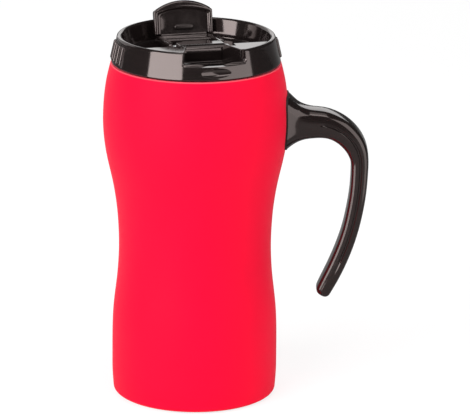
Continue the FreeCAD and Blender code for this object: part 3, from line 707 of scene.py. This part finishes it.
def build_arm():
    """Two flat side arms with eased edges, joined by a round cross rod."""
    arms = []
    for y0, y1 in ((ARM_NEAR, ARM_FAR), (-ARM_FAR, -ARM_NEAR)):
        levels = [(y0, 0.3), (y0 + 0.09, 0.09), (y0 + 0.3, 0.0),
                  (y1 - 0.3, 0.0), (y1 - 0.09, 0.09), (y1, 0.3)]
        arms.append(stack("arm", [[(x, y, z) for x, z in arm_outline(inset)]
                                  for y, inset in levels]))
    ob, other = arms
    unite(ob, other, rod_across("cross", 17, 0, 11.8, 1.1, 40))
    for x, radius in ((0.0, 1.01), (ARM_LENGTH, 0.91)):
        cut(ob, rod_across("bore", x, 0, 20, radius, 32))
    smooth_shade(ob, 35)
    ob.name = "cap_side_arms"
    return place_in_lid(ob, ARM_PIVOT, ARM_OPEN_ANGLE)


# ------------------------------------------------------------------ shader helpers
NOISE_RANGE = (0.3, 0.7)        # where most values of a noise texture lie


def add_node(tree, kind, inputs=None, **settings):
    """New node; inputs maps a socket's name or number to a value or to a socket to link."""
    node = tree.nodes.new(kind)
    for key, value in settings.items():
        setattr(node, key, value)
    for key, value in (inputs or {}).items():
        socket = node.inputs[key]
        if isinstance(value, bpy.types.NodeSocket):
            tree.links.new(value, socket)
        else:
            socket.default_value = value
    return node


def shader(name):
    material = bpy.data.materials.new(name)
    material.use_nodes = True
    tree = material.node_tree
    tree.nodes.clear()
    out = tree.nodes.new("ShaderNodeOutputMaterial")
    bsdf = tree.nodes.new("ShaderNodeBsdfPrincipled")
    tree.links.new(bsdf.outputs[0], out.inputs["Surface"])
    coords = tree.nodes.new("ShaderNodeTexCoord").outputs["Object"]
    return material, tree, bsdf, coords


def set_inputs(bsdf, **values):
    """Set inputs by name, written with underscores for spaces."""
    for key, value in values.items():
        bsdf.inputs[key.replace("_", " ")].default_value = value


def noise(tree, coords, scale, detail, rough=0.55):
    return add_node(tree, "ShaderNodeTexNoise", {
        "Vector": coords, "Scale": scale, "Detail": detail, "Roughness": rough}).outputs["Fac"]


def remap(tree, value, to=(0.0, 1.0), source=NOISE_RANGE):
    return add_node(tree, "ShaderNodeMapRange", {
        "Value": value, "From Min": source[0], "From Max": source[1],
        "To Min": to[0], "To Max": to[1]}).outputs[0]


def add_values(tree, first, second):
    return add_node(tree, "ShaderNodeMath", {0: first, 1: second}, operation="ADD").outputs[0]


def blend(tree, factor, first, second):
    """Colour mix; sockets 6 and 7 are the colour inputs, output 2 the colour."""
    return add_node(tree, "ShaderNodeMix", {0: factor, 6: first, 7: second},
                    data_type="RGBA").outputs[2]


def rgba(colour, gain=1.0):
    return (*(c * gain for c in colour), 1.0)


def mottle(tree, factor, colour, gains):
    """One colour varied between two gains."""
    return blend(tree, factor, rgba(colour, gains[0]), rgba(colour, gains[1]))


def bumps(tree, bsdf, layers, edge_mm=0.0):
    """Stack (height socket, height in mm) layers; edge_mm eases hard edges under the light."""
    normal = None
    if edge_mm:
        normal = add_node(tree, "ShaderNodeBevel", {"Radius": edge_mm * MM}, samples=6).outputs[0]
    for height, depth_mm in layers:
        inputs = {"Height": height, "Distance": depth_mm * MM, "Strength": 1.0}
        if normal is not None:
            inputs["Normal"] = normal
        normal = add_node(tree, "ShaderNodeBump", inputs).outputs[0]
    tree.links.new(normal, bsdf.inputs["Normal"])


# ------------------------------------------------------------------ materials
def plastic(name, colour, rough, spread, vary, grain, grain_mm, wave_mm=0.0, specular=0.5,
            edge_lift=0.0, specks=0.0, edge_mm=0.0, warm=False):
    """Moulded plastic. spread varies the roughness, vary the colour; grain is the scale of
    the fine texture. specks and edge_lift are strengths of pale flecks and paler edges."""
    material, tree, bsdf, coords = shader(name)
    cloud = noise(tree, coords, scale=45.0, detail=4.0)
    fine = noise(tree, coords, scale=grain, detail=2.0)
    medium = noise(tree, coords, scale=260.0, detail=3.0)
    base = mottle(tree, remap(tree, cloud), colour, gains=(1 - vary, 1 + vary))
    if specks:
        fleck = noise(tree, coords, scale=2600.0, detail=1.0)
        amount = remap(tree, fleck, to=(0.0, specks), source=(0.62, 0.70))
        base = blend(tree, amount, base, rgba((0.55, 0.55, 0.55)))
    if edge_lift:
        pointed = tree.nodes.new("ShaderNodeNewGeometry").outputs["Pointiness"]
        amount = remap(tree, pointed, to=(0.0, edge_lift), source=(0.52, 0.60))
        base = blend(tree, amount, base, rgba((0.25, 0.25, 0.25)))
    tree.links.new(base, bsdf.inputs["Base Color"])
    roughness = add_values(
        tree, remap(tree, medium, to=(-spread, spread)),
        remap(tree, fine, to=(rough - spread * 0.5, rough + spread * 0.5)))
    tree.links.new(roughness, bsdf.inputs["Roughness"])
    set_inputs(bsdf, Specular_IOR_Level=specular)
    if warm:
        set_inputs(bsdf, Specular_Tint=(1.0, 0.84, 0.81, 1.0))
    layers = [(fine, grain_mm)]
    if wave_mm:
        layers.insert(0, (noise(tree, coords, scale=38.0, detail=1.0), wave_mm))
    bumps(tree, bsdf, layers, edge_mm)
    return material


def metal(name, colour, rough, scale, line_mm, stretch=(1.0, 1.0, 1.0), anisotropy=0.0,
          smudge=0.08, grain_mm=0.0):
    """Metal with tool marks, drawn out along the axis where stretch is least."""
    material, tree, bsdf, coords = shader(name)
    mapped = add_node(tree, "ShaderNodeMapping", {"Vector": coords, "Scale": stretch}).outputs[0]
    brush = noise(tree, mapped, scale=scale, detail=2.0, rough=0.6)
    cloud = noise(tree, coords, scale=60.0, detail=4.0)
    tree.links.new(mottle(tree, brush, colour, gains=(0.90, 1.06)), bsdf.inputs["Base Color"])
    roughness = add_values(
        tree, remap(tree, brush, to=(rough * 0.75, rough * 1.25), source=(0.25, 0.75)),
        remap(tree, cloud, to=(-smudge * 0.5, smudge)))
    tree.links.new(roughness, bsdf.inputs["Roughness"])
    set_inputs(bsdf, Metallic=1.0, Anisotropic=anisotropy)
    layers = [(brush, line_mm)]
    if grain_mm:
        layers.append((noise(tree, coords, scale=900.0, detail=3.0), grain_mm))
    bumps(tree, bsdf, layers)
    return material


def soft_silicone(name, colour):
    material, tree, bsdf, coords = shader(name)
    cloud = noise(tree, coords, scale=120.0, detail=3.0)
    fine = noise(tree, coords, scale=1500.0, detail=2.0)
    tree.links.new(mottle(tree, cloud, colour, gains=(0.9, 1.08)), bsdf.inputs["Base Color"])
    tree.links.new(remap(tree, fine, to=(0.34, 0.46)), bsdf.inputs["Roughness"])
    set_inputs(bsdf, Subsurface_Weight=0.35, Subsurface_Radius=(0.0012, 0.0012, 0.0011),
               Sheen_Weight=0.12)
    bumps(tree, bsdf, [(fine, 0.002)])
    return material


def foam(name, colour):
    material, tree, bsdf, coords = shader(name)
    cells = add_node(tree, "ShaderNodeTexVoronoi",
                     {"Vector": coords, "Scale": 1400.0}).outputs["Distance"]
    cell_range = (0.0, 0.6)
    base = mottle(tree, remap(tree, cells, source=cell_range), colour, gains=(0.5, 1.5))
    tree.links.new(base, bsdf.inputs["Base Color"])
    roughness = remap(tree, cells, to=(0.75, 0.95), source=cell_range)
    tree.links.new(roughness, bsdf.inputs["Roughness"])
    set_inputs(bsdf, Specular_IOR_Level=0.25)
    bumps(tree, bsdf, [(cells, 0.12)])
    return material


def soft_touch(name, colour):
    """Rubbery coat: even colour, very fine orange peel, a faint powdery sheen, and a painted
    highlight along the top edge.
    """
    material, tree, bsdf, coords = shader(name)
    cloud = noise(tree, coords, scale=22.0, detail=3.0)
    peel = noise(tree, coords, scale=900.0, detail=2.0, rough=0.5)
    grain = noise(tree, coords, scale=4200.0, detail=2.0, rough=0.6)
    base = mottle(tree, remap(tree, cloud), colour, gains=(0.965, 1.035))
    amount = remap(tree, grain, to=(0.0, 0.05), source=(0.3, 0.75))
    base = blend(tree, amount, base, rgba((colour[0], 0.02, 0.06)))
    # painted highlight: the colour is painted paler over the top edge, standing in for the light
    # its rounded edge catches; heights in metres
    height = add_node(tree, "ShaderNodeSeparateXYZ", {0: coords}).outputs["Z"]
    amount = remap(tree, height, to=(0.0, 0.5), source=(0.16255, 0.16285))
    base = blend(tree, amount, base, rgba((0.90, 0.17, 0.21)))
    tree.links.new(base, bsdf.inputs["Base Color"])
    tree.links.new(remap(tree, peel, to=(0.50, 0.58)), bsdf.inputs["Roughness"])
    set_inputs(bsdf, Specular_IOR_Level=0.05, Sheen_Weight=0.12, Sheen_Roughness=0.4,
               Sheen_Tint=(1.0, 0.55, 0.6, 1.0))
    bumps(tree, bsdf, [(peel, 0.0022), (grain, 0.0012)])
    return material


MATERIALS = {
    "red": soft_touch("soft_touch_coat", colour=(0.80, 0.0010, 0.0285)),
    "gloss": plastic(
        "gloss_black", colour=(0.0095, 0.0068, 0.0066), rough=0.085, spread=0.02, vary=0.10,
        grain=1500.0, grain_mm=0.0003, wave_mm=0.02, specular=1.0, warm=True, edge_mm=0.25),
    "handle": plastic(
        "handle_gloss_black", colour=(0.0090, 0.0062, 0.0060), rough=0.11, spread=0.02,
        vary=0.10, grain=1700.0, grain_mm=0.0006, wave_mm=0.012, specular=0.75, warm=True),
    "satin": plastic(
        "satin_black", colour=(0.0105, 0.0070, 0.0068), rough=0.27, spread=0.03, vary=0.10,
        grain=2400.0, grain_mm=0.0016, wave_mm=0.010, edge_lift=0.04),
    "grey": plastic(
        "grey_moulded", colour=(0.16, 0.16, 0.165), rough=0.42, spread=0.06, vary=0.12,
        grain=1600.0, grain_mm=0.006, specks=0.25),
    "nub": plastic(
        "nub_rubber", colour=(0.0080, 0.0062, 0.0060), rough=0.22, spread=0.03, vary=0.15,
        grain=1500.0, grain_mm=0.002, warm=True),
    "rubber": plastic(
        "base_rubber", colour=(0.020, 0.020, 0.020), rough=0.72, spread=0.06, vary=0.25,
        grain=1300.0, grain_mm=0.012, specular=0.3),
    "liner": metal(
        "drawn_steel", colour=(0.63, 0.62, 0.61), rough=0.24, scale=2600.0, line_mm=0.0012,
        stretch=(2.0, 2.0, 1.0), anisotropy=0.4),
    "plate": metal(
        "stamped_steel", colour=(0.50, 0.50, 0.51), rough=0.34, scale=2200.0, line_mm=0.0018,
        stretch=(1.0, 0.04, 1.0), grain_mm=0.004),
    "zinc": metal(
        "zinc_hardware", colour=(0.60, 0.60, 0.61), rough=0.20, scale=2800.0, line_mm=0.0010,
        smudge=0.05),
    "pin": metal(
        "drawn_pin_steel", colour=(0.60, 0.60, 0.61), rough=0.18, scale=3000.0,
        line_mm=0.0008),
    "silicone": soft_silicone("clear_silicone", colour=(0.52, 0.52, 0.50)),
    "foam": foam("closed_cell_foam", colour=(0.10, 0.10, 0.10)),
}


def paint(ob, key):
    ob.data.materials.clear()
    ob.data.materials.append(MATERIALS[key])
    ob.data.polygons.foreach_set("material_index", [0] * len(ob.data.polygons))


# ------------------------------------------------------------------ pieces
# build function, body it rides on, node it replaces, slot, material
PIECES = [
    (build_shell, "mug", "outer_shell", "soft_touch_shell", "red"),
    (build_handle, "mug", "handle", "black_gloss", "handle"),
    (build_lid, "lid", "lid_body", "black_gloss", "gloss"),
    (build_cap, "cap", "flip_cap", "black_gloss", "gloss"),
    (build_stopper, "cap", "cap_stopper", "black_rubber", "nub"),
    (build_arm, "swing", "swing_arm", "black_gloss", "gloss"),
]
for build, body, replaced, slot, key in PIECES:
    piece = build()
    paint(piece, key)
    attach(piece, body)
    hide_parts(replaced)

# CAD pieces kept as they are: node, material
KEPT = {
    "inner_liner": "liner", "neck_ring": "satin", "neck_seal": "silicone",
    "liner_support_pad": "foam", "base_plate": "grey", "base_seal": "silicone",
    "base_screws": "zinc", "base_pad": "rubber", "handle_foot_pad": "rubber",
    "handle_backing_plate": "plate", "handle_screws": "zinc", "lid_plug": "satin",
    "lid_seal": "silicone", "swing_pin": "pin", "cap_pin": "pin",
}
for node_name, key in KEPT.items():
    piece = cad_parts[node_name]
    paint(piece, key)
    smooth_shade(piece, 32)


# ------------------------------------------------------------------ floor, world, lights
# From here on lengths are in metres.
AIM = Vector((0, 0, 0.085))     # the point the lights and the camera face
FLOOR_RADIUS, FLOOR_SIDES, FLOOR_HEIGHT = 6, 96, -0.0001
FLOOR_GLOW = 1.10               # brightness the camera sees mixed into the floor
FLOOR_GLOW_SHARE = 0.72
FLOOR_CLEAR_SHARE = 0.70        # how far reflections see through the floor
# world brightness as each kind of ray meets it
WORLD_TO_CAMERA, WORLD_TO_GLOSS, WORLD_TO_DIFFUSE = 1.08, 0.055, 0.27
# name, degrees from -Y towards +X, degrees up, distance, width, height, radiance
LIGHTS = [
    ("softbox_left", -43, 13, 1.2, 1.05, 1.68, 4.7),
    ("softbox_right", 55.8, 13, 1.2, 1.10, 1.68, 1.95),
    ("front_top", 5, 62, 1.3, 0.8, 0.42, 2.6),
    ("back_left_wall", -140, 22, 1.4, 1.2, 1.0, 0.7),
    ("back_top", 178, 19, 1.5, 1.2, 0.42, 1.45),
    ("top_fill", 0, 84, 1.3, 0.9, 0.9, 1.0),
]


def floor_material():
    material, tree, bsdf, coords = shader("pale_floor")
    cloud = noise(tree, coords, scale=3.0, detail=2.0)
    base = blend(tree, cloud, rgba((0.90, 0.90, 0.90)), rgba((0.93, 0.93, 0.93)))
    tree.links.new(base, bsdf.inputs["Base Color"])
    set_inputs(bsdf, Roughness=0.9, Specular_IOR_Level=0.1)
    rays = tree.nodes.new("ShaderNodeLightPath")

    def mix_on(ray, share, first, second):
        amount = add_node(tree, "ShaderNodeMath", {0: rays.outputs[ray], 1: share},
                          operation="MULTIPLY")
        return add_node(tree, "ShaderNodeMixShader", {
            0: amount.outputs[0], 1: first.outputs[0], 2: second.outputs[0]})
    glow = add_node(tree, "ShaderNodeEmission", {"Color": (1, 1, 1, 1), "Strength": FLOOR_GLOW})
    seen = mix_on("Is Camera Ray", FLOOR_GLOW_SHARE, bsdf, glow)
    clear = tree.nodes.new("ShaderNodeBsdfTransparent")
    surface = mix_on("Is Glossy Ray", FLOOR_CLEAR_SHARE, seen, clear)
    tree.links.new(surface.outputs[0], tree.nodes["Material Output"].inputs["Surface"])
    return material


def build_floor():
    n = FLOOR_SIDES
    rim = on_circle(0, 0, FLOOR_RADIUS, [2 * math.pi * i / n for i in range(n)])
    ob = mesh_object("studio_floor", at_height([(0, 0)] + rim, FLOOR_HEIGHT),
                     [(0, 1 + i, 1 + (i + 1) % n) for i in range(n)])
    ob.data.materials.append(floor_material())


def build_world():
    world = bpy.data.worlds.new("studio")
    SCENE.world = world
    world.use_nodes = True
    tree = world.node_tree
    tree.nodes.clear()
    rays = tree.nodes.new("ShaderNodeLightPath")

    def choose(ray, otherwise, value):
        return add_node(tree, "ShaderNodeMix", {0: rays.outputs[ray], 2: otherwise, 3: value},
                        data_type="FLOAT").outputs[0]
    unseen = choose("Is Glossy Ray", WORLD_TO_DIFFUSE, WORLD_TO_GLOSS)
    strength = choose("Is Camera Ray", unseen, WORLD_TO_CAMERA)
    background = add_node(tree, "ShaderNodeBackground",
                          {"Color": (1, 1, 1, 1), "Strength": strength})
    add_node(tree, "ShaderNodeOutputWorld", {"Surface": background.outputs[0]})


def soft_light(name, azimuth, elevation, distance, width, height, radiance):
    a, e = math.radians(azimuth), math.radians(elevation)
    direction = Vector((math.sin(a) * math.cos(e), -math.cos(a) * math.cos(e), math.sin(e)))
    light = bpy.data.lights.new(name, "AREA")
    light.shape = "RECTANGLE"
    light.size, light.size_y = width, height
    light.energy = radiance * math.pi * width * height
    ob = bpy.data.objects.new(name, light)
    ob.location = AIM + direction * distance
    ob.rotation_mode = "QUATERNION"
    ob.rotation_quaternion = (-direction).to_track_quat("-Z", "Y")
    ob.visible_camera = False
    SCENE.collection.objects.link(ob)


build_floor()
build_world()
for light_row in LIGHTS:
    soft_light(*light_row)
SCENE.view_settings.view_transform = "Standard"
SCENE.view_settings.look = "None"

# ------------------------------------------------------------------ camera
CAMERA_ELEVATION, CAMERA_ROLL = math.radians(16.245), math.radians(0.3285)
CAMERA_DISTANCE = 1.9714
SENSOR_MM, LENS_MM = 36.0, 315.0919149
SHIFT_X, SHIFT_Y = 0.0849361702, 0.0276382979     # parts of the picture's width


def build_camera():
    data = bpy.data.cameras.new("camera")
    camera = bpy.data.objects.new("camera", data)
    SCENE.collection.objects.link(camera)
    camera.location = (0.0, -CAMERA_DISTANCE * math.cos(CAMERA_ELEVATION),
                       0.085 + CAMERA_DISTANCE * math.sin(CAMERA_ELEVATION))
    aim = (AIM - camera.location).to_track_quat("-Z", "Y")
    camera.rotation_mode = "QUATERNION"
    camera.rotation_quaternion = aim @ Matrix.Rotation(CAMERA_ROLL, 4, "Z").to_quaternion()
    data.sensor_width = SENSOR_MM
    data.lens = LENS_MM
    data.shift_x, data.shift_y = SHIFT_X, SHIFT_Y
    data.clip_start, data.clip_end = 0.05, 60.0
    SCENE.camera = camera


build_camera()
